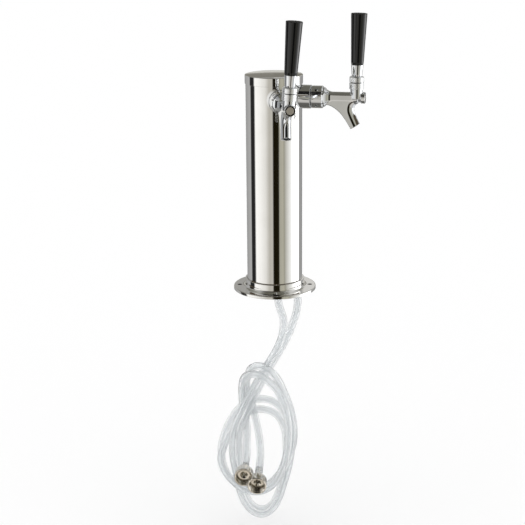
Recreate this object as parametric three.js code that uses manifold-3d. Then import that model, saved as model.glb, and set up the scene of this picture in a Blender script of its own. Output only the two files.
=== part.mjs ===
import * as THREE from 'three';
import { mergeVertices } from 'three/addons/utils/BufferGeometryUtils.js';
import Module from 'manifold-3d';

const wasm = await Module();
wasm.setup();

// Millimetres, +Z up. The origin is the centre of the base flange's underside, -Y is the front.

// Column, cap and flange
const COLUMN_R = 38.1;
const COLUMN_WALL = 1.2;
const TOWER_TOP = 298.7;
const CAP_R = 39.1;
const CAP_SKIRT = 12;
const CAP_THICKNESS = 2;
const FLANGE_R = 57.1;
const FLANGE_THICKNESS = 4.2;
const FLANGE_OPENING_R = 36.3;
const NECK_HEIGHT = 15.2;
const NECK_R = 40.9;
const SCREW_HOLE_R = 3;
const SCREW_CIRCLE_R = 49;

// Taps. A tap's own frame has X outward along its shank, Z up, and its origin on the column's axis.
const TAP_Z = 269.3;
const TAP_SPREAD = 35;
const LEFT_FAUCET_ROLL = -3.7;
const SHANK_R = 11.1;
const SHANK_INNER_END = 22;
const SHANK_FLANGE_R = 12.9;
const COLLAR_R = 15.75;
const COLLAR_END = 51;
const NUT_R = 15;
const NUT_START = 51.5;
const NUT_END = 67.5;
const BODY_REAR = 59.1;
const BARREL_R = 7.3;
const BARREL_BORE_R = 5.3;
const CHAMBER_R = 8.2;
const NUB_END = 123.4;
const NUB_R = 7.5;
const LEVER_X = 111.3;
const BALL_Z = 17.4;
const BALL_R = 7.2;
const STEM_R = 4;
const FINGER_R = 1.8;
const RING_R = 9.55;
const LEVER_LEAN = 1.5;
const FERRULE_TOP = 43.8;
const KNOB_TOP = 93.2;
const SPOUT_TIP = [110.4, -38.3];
const SPOUT_TILT = 28.3;
const SPOUT_R = 6.85;
const SPOUT_BORE_R = 4.2;
const SPOUT_MOUTH_R = 5.2;
const WEB_THICKNESS = 12.8;
const ELBOW_X = 14.5;

// Hoses and their end fittings
const HOSE_R = 5.55;
const BARB_R = 3.3;
const BARB_LENGTH = 20;
const BEER_NUT_R = 13.5;
const BEER_NUT_FACE = -25;
const HOSE_BUNDLE_TURN = -44.5;

const GAP = 0.3;
const COLUMN_SIDES = 36;
const degrees = Math.PI / 180;
const UP = new THREE.Vector3(0, 0, 1);

const chrome = () => new THREE.MeshStandardMaterial({ color: 0xd8d8d6, roughness: 0.08, metalness: 1 });
const steel = () => new THREE.MeshStandardMaterial({ color: 0xc9c8c4, roughness: 0.12, metalness: 1 });
const brass = () => new THREE.MeshStandardMaterial({ color: 0xb89a5c, roughness: 0.3, metalness: 1 });
const nickel = () => new THREE.MeshStandardMaterial({ color: 0xb9b1a1, roughness: 0.18, metalness: 1 });
const blackPlastic = () => new THREE.MeshStandardMaterial({ color: 0x0b0b0c, roughness: 0.12, metalness: 0 });
const whitePlastic = () => new THREE.MeshStandardMaterial({ color: 0xe8e6df, roughness: 0.4, metalness: 0 });
const rubber = () => new THREE.MeshStandardMaterial({ color: 0x1d1d1e, roughness: 0.7, metalness: 0 });
const vinyl = () =>
  new THREE.MeshStandardMaterial({ color: 0xcfdcd4, roughness: 0.15, transparent: true, opacity: 0.6 });

// A closed geometry as a manifold solid, turned right side out.
function solidOf(geometry) {
  const bare = geometry.clone();
  bare.deleteAttribute('normal');
  bare.deleteAttribute('uv');
  const merged = mergeVertices(bare, 1e-4);
  const points = merged.attributes.position;
  const corners = [0, 1, 2].map(() => new THREE.Vector3());
  const faces = [];
  let volume = 0;
  for (let i = 0; i < merged.index.count; i += 3) {
    const face = [0, 1, 2].map((k) => merged.index.getX(i + k));
    if (face[0] === face[1] || face[1] === face[2] || face[2] === face[0]) {
      continue;
    }
    corners.forEach((corner, k) => corner.fromBufferAttribute(points, face[k]));
    volume += corners[0].dot(corners[1].cross(corners[2]));
    faces.push(face);
  }
  if (volume < 0) {
    faces.forEach((face) => face.reverse());
  }
  const vertProperties = new Float32Array(points.array);
  const triVerts = new Uint32Array(faces.flat());
  return new wasm.Manifold(new wasm.Mesh({ numProp: 3, vertProperties, triVerts }));
}

function geometryOf(solid) {
  const { vertProperties, triVerts } = solid.getMesh();
  const geometry = new THREE.BufferGeometry();
  geometry.setAttribute('position', new THREE.BufferAttribute(vertProperties, 3));
  geometry.setIndex(new THREE.BufferAttribute(triVerts, 1));
  geometry.computeVertexNormals();
  return geometry;
}

const joined = (...solids) => solids.reduce((whole, solid) => whole.add(solid));
const cut = (solid, ...tools) => tools.reduce((rest, tool) => rest.subtract(tool), solid);

// A solid of revolution about +Z from [radius, height] points; 'ring' closes a profile off the axis.
function turned(profile, sides = 16, ring = false) {
  const points = profile.map(([radius, height]) => new THREE.Vector2(radius, height));
  if (ring) {
    points.push(points[0].clone());
  }
  return new THREE.LatheGeometry(points, sides).rotateX(Math.PI / 2);
}

// The same about +X, from [radius, station] points, as everything on a tap's shank axis is.
const turnedAlongX = (profile, sides, ring) => turned(profile, sides, ring).rotateY(Math.PI / 2);

const rod = (radius, from, to, sides = 16) =>
  turned([[0, from], [radius, from], [radius, to], [0, to]], sides);

const rodAlongX = (radius, from, to, sides = 16) => rod(radius, from, to, sides).rotateY(Math.PI / 2);

const washer = (inner, outer, from, to, sides = 16) =>
  turned([[inner, from], [outer, from], [outer, to], [inner, to]], sides, true);

function hexNut(bore, cornerRadius, from, to) {
  const block = solidOf(rodAlongX(cornerRadius, from, to, 6));
  return cut(block, solidOf(rodAlongX(bore, from - 1, to + 1)));
}

function box(low, high) {
  const size = high.map((value, k) => value - low[k]);
  const middle = high.map((value, k) => (value + low[k]) / 2);
  return new THREE.BoxGeometry(...size).translate(...middle);
}

// Points along an arc in a profile, angles in degrees from the radial direction.
function arc(centreRadius, centreHeight, radius, from, to, steps) {
  return Array.from({ length: steps + 1 }, (_, i) => {
    const angle = (from + ((to - from) * i) / steps) * degrees;
    return [centreRadius + radius * Math.cos(angle), centreHeight + radius * Math.sin(angle)];
  });
}

function add(parent, name, shape, material) {
  const geometry = shape.isBufferGeometry ? geometryOf(solidOf(shape)) : geometryOf(shape);
  const mesh = new THREE.Mesh(geometry, material);
  mesh.name = name;
  parent.add(mesh);
}

const tower = new THREE.Group();

// ---- Column, cap and flange ----

const tapTurn = (side) => side * TAP_SPREAD - 90;

function columnTube() {
  const wall = turned(
    [
      [COLUMN_R - COLUMN_WALL, 2.3 + GAP],
      [COLUMN_R, 2.3 + GAP],
      [COLUMN_R, TOWER_TOP - CAP_THICKNESS - GAP],
      [COLUMN_R - COLUMN_WALL, TOWER_TOP - CAP_THICKNESS - GAP],
    ],
    COLUMN_SIDES,
    true,
  );
  const holes = [-1, 1].map((side) =>
    solidOf(
      rodAlongX(SHANK_R + GAP, 20, 50)
        .rotateZ(tapTurn(side) * degrees)
        .translate(0, 0, TAP_Z),
    ),
  );
  return cut(solidOf(wall), ...holes);
}

function topCap() {
  const inner = COLUMN_R + GAP;
  const under = TOWER_TOP - CAP_THICKNESS;
  return turned(
    [
      [0, under],
      [inner, under],
      [inner, TOWER_TOP - CAP_SKIRT],
      [CAP_R, TOWER_TOP - CAP_SKIRT],
      ...arc(CAP_R - 1, TOWER_TOP - 1.2, 1, 0, 90, 2),
      [CAP_R / 2, TOWER_TOP + 0.6],
      [0, TOWER_TOP + 0.9],
    ],
    COLUMN_SIDES,
  );
}

function baseFlange() {
  const bore = COLUMN_R + GAP;
  const plate = turned(
    [
      [FLANGE_OPENING_R, 0],
      [FLANGE_R, 0],
      ...arc(FLANGE_R - 1.8, FLANGE_THICKNESS - 1.8, 1.8, 0, 90, 2),
      ...arc(NECK_R + 4.6, FLANGE_THICKNESS + 4.6, 4.6, 270, 180, 3),
      [NECK_R, NECK_HEIGHT - 1],
      [NECK_R - 0.8, NECK_HEIGHT],
      [bore, NECK_HEIGHT],
      [bore, 2.3],
      [FLANGE_OPENING_R, 2.3],
    ],
    COLUMN_SIDES,
    true,
  );
  const holes = [45, 135, 225, 315].map((angle) =>
    solidOf(
      rod(SCREW_HOLE_R, -1, 9, 8)
        .translate(SCREW_CIRCLE_R, 0, 0)
        .rotateZ(angle * degrees),
    ),
  );
  return cut(solidOf(plate), ...holes);
}

add(tower, 'column_tube', columnTube(), steel());
add(tower, 'top_cap', topCap(), steel());
add(tower, 'base_flange', baseFlange(), steel());

// ---- Shank and its fastenings ----

function shank() {
  return turnedAlongX(
    [
      [3.5, SHANK_INNER_END],
      [SHANK_R, SHANK_INNER_END],
      [SHANK_R, 54.3],
      [SHANK_FLANGE_R, 54.3],
      [SHANK_FLANGE_R, 57],
      [CHAMBER_R, 57],
      [CHAMBER_R, 50],
      [3.5, 48],
    ],
    16,
    true,
  );
}

function shankCollar() {
  const ring = turnedAlongX(
    [
      [SHANK_R + GAP, 30],
      [COLLAR_R, 30],
      [COLLAR_R, COLLAR_END - 0.8],
      [COLLAR_R - 0.8, COLLAR_END],
      [SHANK_R + GAP, COLLAR_END],
    ],
    16,
    true,
  );
  return cut(solidOf(ring), solidOf(rod(COLUMN_R + GAP, -30, 30, COLUMN_SIDES)));
}

function innerSaddle() {
  const ring = turnedAlongX(
    [
      [SHANK_R + GAP, 33.3],
      [14, 33.3],
      [14, 38],
      [SHANK_R + GAP, 38],
    ],
    16,
    true,
  );
  return solidOf(ring).intersect(solidOf(rod(COLUMN_R - COLUMN_WALL - GAP, -30, 30, COLUMN_SIDES)));
}

function couplingNut() {
  const lip = SHANK_R + GAP;
  const thread = SHANK_FLANGE_R + GAP;
  const ring = turnedAlongX(
    [
      [lip, NUT_START],
      [NUT_R - 1, NUT_START],
      [NUT_R, NUT_START + 1],
      [NUT_R, NUT_END - 1.4],
      [NUT_R - 1.4, NUT_END],
      [thread, NUT_END],
      [thread, 54],
      [lip, 54],
    ],
    16,
    true,
  );
  const spannerHoles = [45, 135, 225, 315].map((angle) =>
    solidOf(
      rod(2.4, 10, 20, 8)
        .rotateX(angle * degrees)
        .translate((NUT_START + NUT_END) / 2, 0, 0),
    ),
  );
  return cut(solidOf(ring), ...spannerHoles);
}

const couplingWasher = () => washer(8.5, 12, 57.3, 58.8).rotateY(Math.PI / 2);

// ---- Tail elbow and hose clamp inside the column ----

function barbProfile(length) {
  const teeth = 3;
  const pitch = length / teeth;
  const points = [];
  for (let i = 0; i < teeth; i += 1) {
    points.push([BARB_R, i * pitch]);
    points.push([BARB_R - 0.5, (i + 1) * pitch]);
  }
  return points;
}

function tailElbow() {
  const arm = turnedAlongX(
    [
      [0, ELBOW_X - 6.3],
      ...arc(0, ELBOW_X, 6.3, -90, 0, 3).slice(1),
      [6.3, 21.7],
      [3.2, 21.7],
      [3.2, 30],
      [0, 30],
    ],
    12,
  );
  const legBarbs = barbProfile(BARB_LENGTH)
    .map(([radius, height]) => [radius, -10 - height])
    .reverse();
  const leg = turned(
    [[0, -10 - BARB_LENGTH], ...legBarbs, [6.3, -10], [6.3, -6], [5, -5], [5, 0], [0, 0]],
    12,
  ).translate(ELBOW_X, 0, 0);
  const acrossBore = rodAlongX(2.2, ELBOW_X, 31, 8);
  const downBore = rod(2.2, -40, 0.5, 8).translate(ELBOW_X, 0, 0);
  return cut(joined(solidOf(arm), solidOf(leg)), solidOf(acrossBore), solidOf(downBore));
}

function hoseClamp() {
  const band = washer(HOSE_R + GAP, HOSE_R + GAP + 0.9, -24, -17).translate(ELBOW_X, 0, 0);
  const ear = box([ELBOW_X + 6.2, -2.5, -24], [ELBOW_X + 9, 2.5, -17]);
  return joined(solidOf(band), solidOf(ear));
}

// ---- Faucet ----

// The web between barrel and spout, as an outline in the tap's upright plane.
function webOutline() {
  const outline = new THREE.Shape();
  outline.moveTo(72, 4);
  outline.lineTo(72, -10.8);
  outline.lineTo(76.5, -11.4);
  outline.quadraticCurveTo(92, -18, 101.2, -36.6);
  outline.lineTo(107, -34);
  outline.lineTo(101.8, -20);
  outline.quadraticCurveTo(101.5, -9.5, 111, -6.3);
  outline.lineTo(111, 4);
  return outline;
}

function faucetBody() {
  const barrel = turnedAlongX(
    [
      [0, BODY_REAR],
      [SHANK_FLANGE_R, BODY_REAR],
      [SHANK_FLANGE_R, NUT_END + 1.4],
      [9.9, 72.4],
      [8.4, 75],
      [BARREL_R, 79.4],
      [BARREL_R, 113.5],
      [BARREL_R - 1.2, 114.5],
      [BARREL_R - 1.2, 117],
      [NUB_R, 118],
      [NUB_R, NUB_END - 0.7],
      [NUB_R - 0.7, NUB_END],
      [5.4, NUB_END],
      [5.4, NUB_END - 0.8],
      [0, NUB_END - 0.8],
    ],
    16,
  );
  const webBevel = 1.2;
  const web = new THREE.ExtrudeGeometry(webOutline(), {
    depth: WEB_THICKNESS - 2 * webBevel,
    bevelEnabled: true,
    bevelThickness: webBevel,
    bevelSize: webBevel,
    bevelOffset: -webBevel,
    bevelSegments: 1,
    curveSegments: 6,
  })
    .rotateX(90 * degrees)
    .translate(0, WEB_THICKNESS / 2 - webBevel, 0);
  const onSpout = (geometry) =>
    geometry.rotateY((180 - SPOUT_TILT) * degrees).translate(SPOUT_TIP[0], 0, SPOUT_TIP[1]);
  const spout = onSpout(
    turned([[0, 0], [SPOUT_R - 0.5, 0], [SPOUT_R, -0.6], [SPOUT_R, -31], [5, -36], [0, -38]]),
  );
  const spoutBore = onSpout(rod(SPOUT_BORE_R, -40, 0, 12));
  const spoutMouth = onSpout(rod(SPOUT_MOUTH_R, -9, 3, 12));
  const neck = turned(
    [
      [0, -4],
      [8.35, -4],
      [8.35, 11.6],
      [8.2, 11.6],
      [8.2, 14],
      [7.3, 14],
      [7.3, 9],
      [0, 9],
    ],
    16,
  ).translate(LEVER_X, 0, 0);
  const bore = rodAlongX(BARREL_BORE_R, 60, 118, 16);
  const chamber = rodAlongX(CHAMBER_R, BODY_REAR - 1, 68);
  const slot = box([LEVER_X - 8.4, -2.3, 0], [LEVER_X + 2.6, 2.3, 12]);
  return cut(
    joined(solidOf(barrel), solidOf(web), solidOf(spout), solidOf(neck)),
    solidOf(bore),
    solidOf(chamber),
    solidOf(spoutBore),
    solidOf(spoutMouth),
    solidOf(slot),
  );
}

// The shaft slides along the barrel and carries its seal at the rear.
function valveShaft() {
  const turnedShaft = turnedAlongX(
    [
      [0, 61],
      [2.4, 61],
      [2.4, 68],
      [4, 68],
      [4, 70.5],
      [2.9, 71.5],
      [2.9, 102],
      [5, 103.5],
      [5, 117.4],
      [0, 117.4],
    ],
    16,
  );
  const slot = box([LEVER_X - 3.3, -2.3, -7], [LEVER_X + 3.9, 2.3, 7]);
  return cut(solidOf(turnedShaft), solidOf(slot));
}

function shaftSeal() {
  return turnedAlongX([[2.7, 65.6], [7, 65.6], [7, 66.9], [5, 67.7], [2.7, 67.7]], 16, true);
}

function bonnet() {
  return turned(
    [
      [8.5, 11.9],
      [RING_R - 0.4, 11.9],
      [RING_R, 12.4],
      [RING_R, BALL_Z + 2.3],
      [9.05, BALL_Z + 3],
      [6.7, BALL_Z + 3],
      [6.9, BALL_Z + 2.3],
      [8.5, BALL_Z + 2.3],
    ],
    16,
    true,
  ).translate(LEVER_X, 0, 0);
}

const frictionWasher = () => washer(7.5, 8.2, BALL_Z - 3, BALL_Z + 2).translate(LEVER_X, 0, 0);

function ballWasher() {
  return turned([[6.3, 9.3], [7, 9.3], [7, 13.2], [6.45, 13.2]], 16, true).translate(LEVER_X, 0, 0);
}

// Lever pieces are drawn about the ball's centre.
function lever() {
  return turned(
    [
      [0, -18.4],
      [FINGER_R - 0.4, -18.4],
      [FINGER_R, -18],
      ...arc(0, 0, BALL_R, -75, 56, 7),
      [STEM_R, 40.6],
      [0, 40.6],
    ],
    16,
  );
}

function leverCollar() {
  return turned(
    [
      ...arc(0, 0, 10.1, 19.8, 64, 5),
      [STEM_R + GAP, 10.9],
      [RING_R - 1.2, 10.9],
      [RING_R, 9.9],
    ],
    16,
    true,
  );
}

const ferruleFoot = 11.4;
const ferruleHead = FERRULE_TOP - BALL_Z;

function knobFerrule() {
  return turned(
    [
      [STEM_R + GAP, ferruleFoot],
      [6.7, ferruleFoot],
      [6.9, ferruleFoot + 0.4],
      [8.1, ferruleHead],
      [STEM_R + GAP, ferruleHead],
    ],
    16,
    true,
  );
}

function tapKnob() {
  return turned(
    [
      [0, 41],
      [STEM_R + GAP, 41],
      [STEM_R + GAP, ferruleHead + GAP],
      [8, ferruleHead + GAP],
      [8.25, ferruleHead + 0.8],
      [10.7, KNOB_TOP - 0.6],
      [10.1, KNOB_TOP],
      [0, KNOB_TOP],
    ],
    16,
  );
}

// ---- Hoses and their end fittings ----

// The loosely coiled hoses hang in an upright plane turned from the front. Points are in that
// plane's frame, X across it and -Y out of it, from the elbow's shoulder to the end fitting's.
const hoseRoutes = {
  left: [
    [2.4, -14.3, 259], [2.4, -14.3, 235], [3, -12, 120], [4, -8, 20], [5, -7, -20], [12, -5, -47],
    [10, -2, -71], [2.5, 2, -93], [-21.5, 7, -136], [-49, 6, -190], [-60, 9, -219], [-63, 14, -255],
    [-58, 24, -299], [-52.5, 27, -329], [-45, 28.5, -348], [-34.5, 29, -361], [-21.5, 29, -366],
    [-9, 29, -360.5], [1.5, 28, -345.5], [13, 26, -310], [22, 21, -266], [22, 19, -227], [12, 25, -199],
    [-1, 35, -188], [-18, 43, -186], [-37, 47.5, -190.5], [-50, 48.5, -199.5], [-60, 47, -210],
    [-69, 42, -224], [-76, 34, -240], [-80, 26, -258], [-76, 18, -284], [-63, 12, -303], [-41, 12, -314],
    [-17, 12, -313], [3, 9, -294], [18, 5, -265], [26, 1, -233], [24, 0, -195], [12, -1.5, -157],
    [0, -5, -132], [-10, -8, -120.5], [-19.5, -8, -115.5], [-28.5, -5, -116.5], [-35.5, 1, -123.5],
    [-39, 8.5, -135], [-42, 17.5, -150], [-41, 27.5, -168], [-34.5, 32, -190], [-28, 25, -215],
    [-23.5, 15, -238], [-22, 3.5, -256], [-22.8, -9, -264.5], [-23.6, -21, -267], [-25.1, -43, -269.8],
  ],
  right: [
    [14.3, -2.6, 259], [14.3, -2.6, 235], [19, -2, 130], [28.5, 0, 12], [32, 0, -16], [31, 1, -33],
    [24, 4, -59], [13, 11, -87], [-9.5, 17.5, -129], [-24.5, 17.5, -159], [-40.5, 17.5, -196],
    [-52, 19, -228], [-54, 27, -264], [-54, 36, -300], [-48, 39.5, -330], [-42.5, 40.5, -346.5],
    [-35, 41.5, -358], [-26, 41.5, -363.5], [-16, 41.5, -363.5], [-7, 41.5, -357.5], [1, 41, -344],
    [8, 38.5, -322], [13.5, 36, -293], [16, 32, -258], [13, 30, -227], [2, 35, -208], [-17, 42, -202],
    [-36, 45, -205], [-46, 43, -210.5], [-54, 36, -218], [-61, 29, -227], [-69, 23, -236],
    [-76, 17, -250], [-80, 10, -265], [-75, 3, -281], [-63, 0, -297], [-45, 0, -311], [-23, 0, -314],
    [-4, -2, -302], [11, -6, -271], [18, -10, -234], [17, -12, -193], [5, -13, -154], [-6, -15, -139],
    [-17, -17, -129], [-25, -17.5, -124.5], [-33.5, -14.5, -124.5], [-41, -9.5, -129],
    [-45.5, -3, -137.5], [-47.5, 6, -151], [-48, 15, -166], [-47.5, 28.5, -190], [-43, 31, -214],
    [-41.8, 30, -232], [-42.5, 26, -251], [-42.5, 16.5, -264], [-43.8, 2, -270.5], [-44.8, -21.8, -270],
  ],
};

// Steps follow the points instead of the arc length, so that the tight bends get the most of them.
class HoseRoute extends THREE.CatmullRomCurve3 {
  getUtoTmapping(u) {
    return u;
  }
}

function hose(points) {
  const ring = Array.from({ length: 8 }, (_, i) => {
    const angle = (i + 0.5) * 45 * degrees;
    return new THREE.Vector2(HOSE_R * Math.cos(angle), HOSE_R * Math.sin(angle));
  });
  const tube = new THREE.ExtrudeGeometry(new THREE.Shape(ring), {
    steps: 66,
    bevelEnabled: false,
    extrudePath: new HoseRoute(points),
  });
  const sockets = [
    [points[0], points[1]],
    [points.at(-1), points.at(-2)],
  ].map(([end, next]) => {
    const socket = new THREE.Mesh(rod(BARB_R + GAP, -1, BARB_LENGTH, 10));
    socket.quaternion.setFromUnitVectors(UP, next.clone().sub(end).normalize());
    socket.position.copy(end);
    socket.updateMatrix();
    return solidOf(socket.geometry.applyMatrix4(socket.matrix));
  });
  return cut(solidOf(tube), ...sockets);
}

// The fittings are drawn about +Z: the hose's end and barbs are up, the nut's open face down.
function tailpiece() {
  return turned(
    [
      [2.1, -16.1],
      [9.6, -16.1],
      [9.6, -13.5],
      [5.7, -11.4],
      [5.7, 0],
      ...barbProfile(BARB_LENGTH),
      [2.1, BARB_LENGTH],
    ],
    12,
    true,
  );
}

function beerNut() {
  return turned(
    [
      [10.3, BEER_NUT_FACE],
      [12.7, BEER_NUT_FACE],
      [BEER_NUT_R, BEER_NUT_FACE + 0.8],
      [BEER_NUT_R, -10.5],
      [12.5, -9],
      [8.4, -5.8],
      [6.2, -5.8],
      [6.2, -10.4],
      [10.3, -12.6],
    ],
    20,
    true,
  );
}

function buildHose(prefix) {
  const points = hoseRoutes[prefix].map((point) => new THREE.Vector3(...point));
  const bundle = new THREE.Group();
  bundle.rotation.z = HOSE_BUNDLE_TURN * degrees;
  tower.add(bundle);
  add(bundle, `${prefix}_hose`, hose(points), vinyl());

  const end = points.at(-1);
  const backAlongHose = points.at(-2).clone().sub(end).normalize();
  const fitting = new THREE.Group();
  fitting.quaternion.setFromUnitVectors(UP, backAlongHose);
  fitting.position.copy(end).addScaledVector(backAlongHose, -GAP);
  bundle.add(fitting);
  add(fitting, `${prefix}_tailpiece`, tailpiece(), nickel());
  add(fitting, `${prefix}_beer_nut`, beerNut(), nickel());
}

// ---- The two taps ----

function buildTap(prefix, side, roll) {
  const tap = new THREE.Group();
  tap.position.set(0, 0, TAP_Z);
  tap.rotation.z = tapTurn(side) * degrees;
  tower.add(tap);
  add(tap, `${prefix}_shank`, shank(), steel());
  add(tap, `${prefix}_shank_collar`, shankCollar(), chrome());
  add(tap, `${prefix}_inner_saddle`, innerSaddle(), whitePlastic());
  add(tap, `${prefix}_lock_nut`, hexNut(SHANK_R + GAP, 14.8, 27, 33), brass());
  add(tap, `${prefix}_tail_elbow`, tailElbow(), steel());
  add(tap, `${prefix}_hose_clamp`, hoseClamp(), steel());
  add(tap, `${prefix}_coupling_nut`, couplingNut(), chrome());
  add(tap, `${prefix}_coupling_washer`, couplingWasher(), rubber());

  const faucet = new THREE.Group();
  faucet.rotation.x = roll * degrees;
  tap.add(faucet);
  add(faucet, `${prefix}_faucet_body`, faucetBody(), chrome());
  add(faucet, `${prefix}_valve_shaft`, valveShaft(), steel());
  add(faucet, `${prefix}_shaft_seal`, shaftSeal(), rubber());
  add(faucet, `${prefix}_shaft_nut`, hexNut(2.7, 4.6, 62.4, 65.3), steel());
  add(faucet, `${prefix}_bonnet`, bonnet(), chrome());
  add(faucet, `${prefix}_friction_washer`, frictionWasher(), whitePlastic());
  add(faucet, `${prefix}_ball_washer`, ballWasher(), rubber());

  const handle = new THREE.Group();
  handle.position.set(LEVER_X, 0, BALL_Z);
  handle.rotation.y = LEVER_LEAN * degrees;
  faucet.add(handle);
  add(handle, `${prefix}_lever`, lever(), steel());
  add(handle, `${prefix}_lever_collar`, leverCollar(), chrome());
  add(handle, `${prefix}_knob_ferrule`, knobFerrule(), chrome());
  add(handle, `${prefix}_tap_knob`, tapKnob(), blackPlastic());
}

buildTap('left', -1, LEFT_FAUCET_ROLL);
buildTap('right', 1, 0);
buildHose('left');
buildHose('right');

export default tower;
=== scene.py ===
"""Beer tap tower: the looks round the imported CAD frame. Shapes are drawn in millimetres."""

import math

import bpy
import numpy as np
from mathutils import Matrix, Vector


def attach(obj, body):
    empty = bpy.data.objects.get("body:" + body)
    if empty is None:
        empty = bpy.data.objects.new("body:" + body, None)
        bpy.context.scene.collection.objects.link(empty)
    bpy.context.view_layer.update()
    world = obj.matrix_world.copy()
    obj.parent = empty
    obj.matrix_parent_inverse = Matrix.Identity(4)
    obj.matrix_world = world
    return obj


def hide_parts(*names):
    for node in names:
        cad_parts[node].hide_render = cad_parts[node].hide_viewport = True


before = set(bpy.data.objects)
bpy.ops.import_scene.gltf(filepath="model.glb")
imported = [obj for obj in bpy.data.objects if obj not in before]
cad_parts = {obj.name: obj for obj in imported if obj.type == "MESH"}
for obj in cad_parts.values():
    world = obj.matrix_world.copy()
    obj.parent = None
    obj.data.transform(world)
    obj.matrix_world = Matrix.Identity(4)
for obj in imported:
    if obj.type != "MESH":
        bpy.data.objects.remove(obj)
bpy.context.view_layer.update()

# ---- Driving dimensions, in millimetres and degrees, as in the CAD part ----

COLUMN_R = 38.1
SHANK_HOLE_R = 11.4
SCREW_CIRCLE_R = 49
SCREW_HOLE_R = 3.0
QUARTERS = (45, 135, 225, 315)
TAP_Z = 269.3
TAP_SPREAD = 35
FAUCET_ROLL = {"left": -3.7, "right": 0.0}
SIDE = {"left": -1, "right": 1}
NUB_R = 7.5
NUB_END = 123.4
BARREL_R = 7.3
BARREL_BORE_R = 5.3
LEVER_X = 111.3
BALL_Z = 17.4
BALL_R = 7.2
LEVER_LEAN = 1.5
SPOUT_TIP = np.array([110.4, 0.0, -38.3])
SPOUT_TILT = 28.3
SPOUT_BORE_R = 4.2
SPOUT_MOUTH_R = 5.2
SPANNER_HOLE_R = 2.4
ELBOW_X = 14.5
HOSE_R = 5.55
HOSE_BORE_R = 2.4
BARB_R = 3.3
BARB_LENGTH = 20
GAP = 0.3
HOSE_BUNDLE_TURN = -44.5
FLOOR_Z = -392
FLOOR_HALF_M = 40.0

# ---- Camera ----

CAMERA_DISTANCE = 1.7588
CAMERA_HEIGHT = 0.5546
CAMERA_PITCH = math.radians(16.43)
CAMERA_YAW = math.radians(0.554)
CAMERA_ROLL = math.radians(-0.442)
LENS = 90.27

to_camera = Vector((-0.7009, -0.7133, 0.0)).normalized()
to_right = Vector((0.7133, -0.7009, 0.0)).normalized()
upward = Vector((0.0, 0.0, 1.0))

ahead = -math.sin(CAMERA_YAW) * to_right - math.cos(CAMERA_YAW) * to_camera
level = math.cos(CAMERA_YAW) * to_right - math.sin(CAMERA_YAW) * to_camera
forward = math.cos(CAMERA_PITCH) * ahead - math.sin(CAMERA_PITCH) * upward
above = math.sin(CAMERA_PITCH) * ahead + math.cos(CAMERA_PITCH) * upward
image_right = math.cos(CAMERA_ROLL) * level + math.sin(CAMERA_ROLL) * above
image_up = -math.sin(CAMERA_ROLL) * level + math.cos(CAMERA_ROLL) * above

camera = bpy.data.objects.new("camera", bpy.data.cameras.new("camera"))
bpy.context.scene.collection.objects.link(camera)
camera.data.lens = LENS
camera.data.sensor_width = 36
camera.data.clip_end = 100
camera.matrix_world = Matrix.LocRotScale(
    CAMERA_DISTANCE * to_camera + CAMERA_HEIGHT * upward,
    Matrix((image_right, image_up, -forward)).transposed(),
    None,
)
bpy.context.scene.camera = camera
bpy.context.scene.view_settings.view_transform = "Standard"

# ---- Materials ----


def shader_of(material):
    return material.node_tree.nodes["Principled BSDF"]


def new_material(name, **sockets):
    """A Principled material. Sockets are named as in the shader, with _ for a space."""
    material = bpy.data.materials.new(name)
    material.use_nodes = True
    for key, value in sockets.items():
        shader_of(material).inputs[key.replace("_", " ")].default_value = value
    return material


def link(material, out, target):
    material.node_tree.links.new(out, target)


def noise(material, scale, stretch=(1, 1, 1), detail=3.0, roughness=0.5):
    """A noise pattern fixed to the object, with 'scale' features to the metre."""
    nodes = material.node_tree.nodes
    place = nodes.new("ShaderNodeTexCoord")
    mapping = nodes.new("ShaderNodeMapping")
    mapping.inputs["Scale"].default_value = stretch
    texture = nodes.new("ShaderNodeTexNoise")
    texture.inputs["Scale"].default_value = scale
    texture.inputs["Detail"].default_value = detail
    texture.inputs["Roughness"].default_value = roughness
    link(material, place.outputs["Object"], mapping.inputs["Vector"])
    link(material, mapping.outputs["Vector"], texture.inputs["Vector"])
    return texture.outputs["Fac"]


def spread(material, value, low, high, start=0.3, end=0.7):
    """Maps the start..end part of a pattern to the range low..high."""
    node = material.node_tree.nodes.new("ShaderNodeMapRange")
    node.inputs["From Min"].default_value = start
    node.inputs["From Max"].default_value = end
    node.inputs["To Min"].default_value = low
    node.inputs["To Max"].default_value = high
    link(material, value, node.inputs["Value"])
    return node.outputs["Result"]


def tones_of(material, value, dark, light):
    """Base colour between two close tones of the same finish."""
    node = material.node_tree.nodes.new("ShaderNodeMix")
    node.data_type = "RGBA"
    node.inputs["A"].default_value = (*dark, 1)
    node.inputs["B"].default_value = (*light, 1)
    link(material, value, node.inputs["Factor"])
    link(material, node.outputs["Result"], shader_of(material).inputs["Base Color"])


def gloss_of(material, value, low, high):
    """Roughness between two values."""
    link(material, spread(material, value, low, high), shader_of(material).inputs["Roughness"])


def bumped(material, value, depth):
    """Relief of that depth in metres."""
    node = material.node_tree.nodes.new("ShaderNodeBump")
    node.inputs["Strength"].default_value = 1.0
    node.inputs["Distance"].default_value = depth
    link(material, value, node.inputs["Height"])
    link(material, node.outputs["Normal"], shader_of(material).inputs["Normal"])


def metal(name, dark, light, rough, grain, stretch, relief):
    """Polished or plated metal: a faint drift of tone, buffing marks and a little waviness."""
    material = new_material(name, Metallic=1.0)
    cloud = spread(material, noise(material, 45, detail=4), 0, 1)
    marks = noise(material, grain, stretch, detail=5, roughness=0.6)
    tones_of(material, cloud, dark, light)
    gloss_of(material, marks, *rough)
    bumped(material, marks, relief)
    return material


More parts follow.
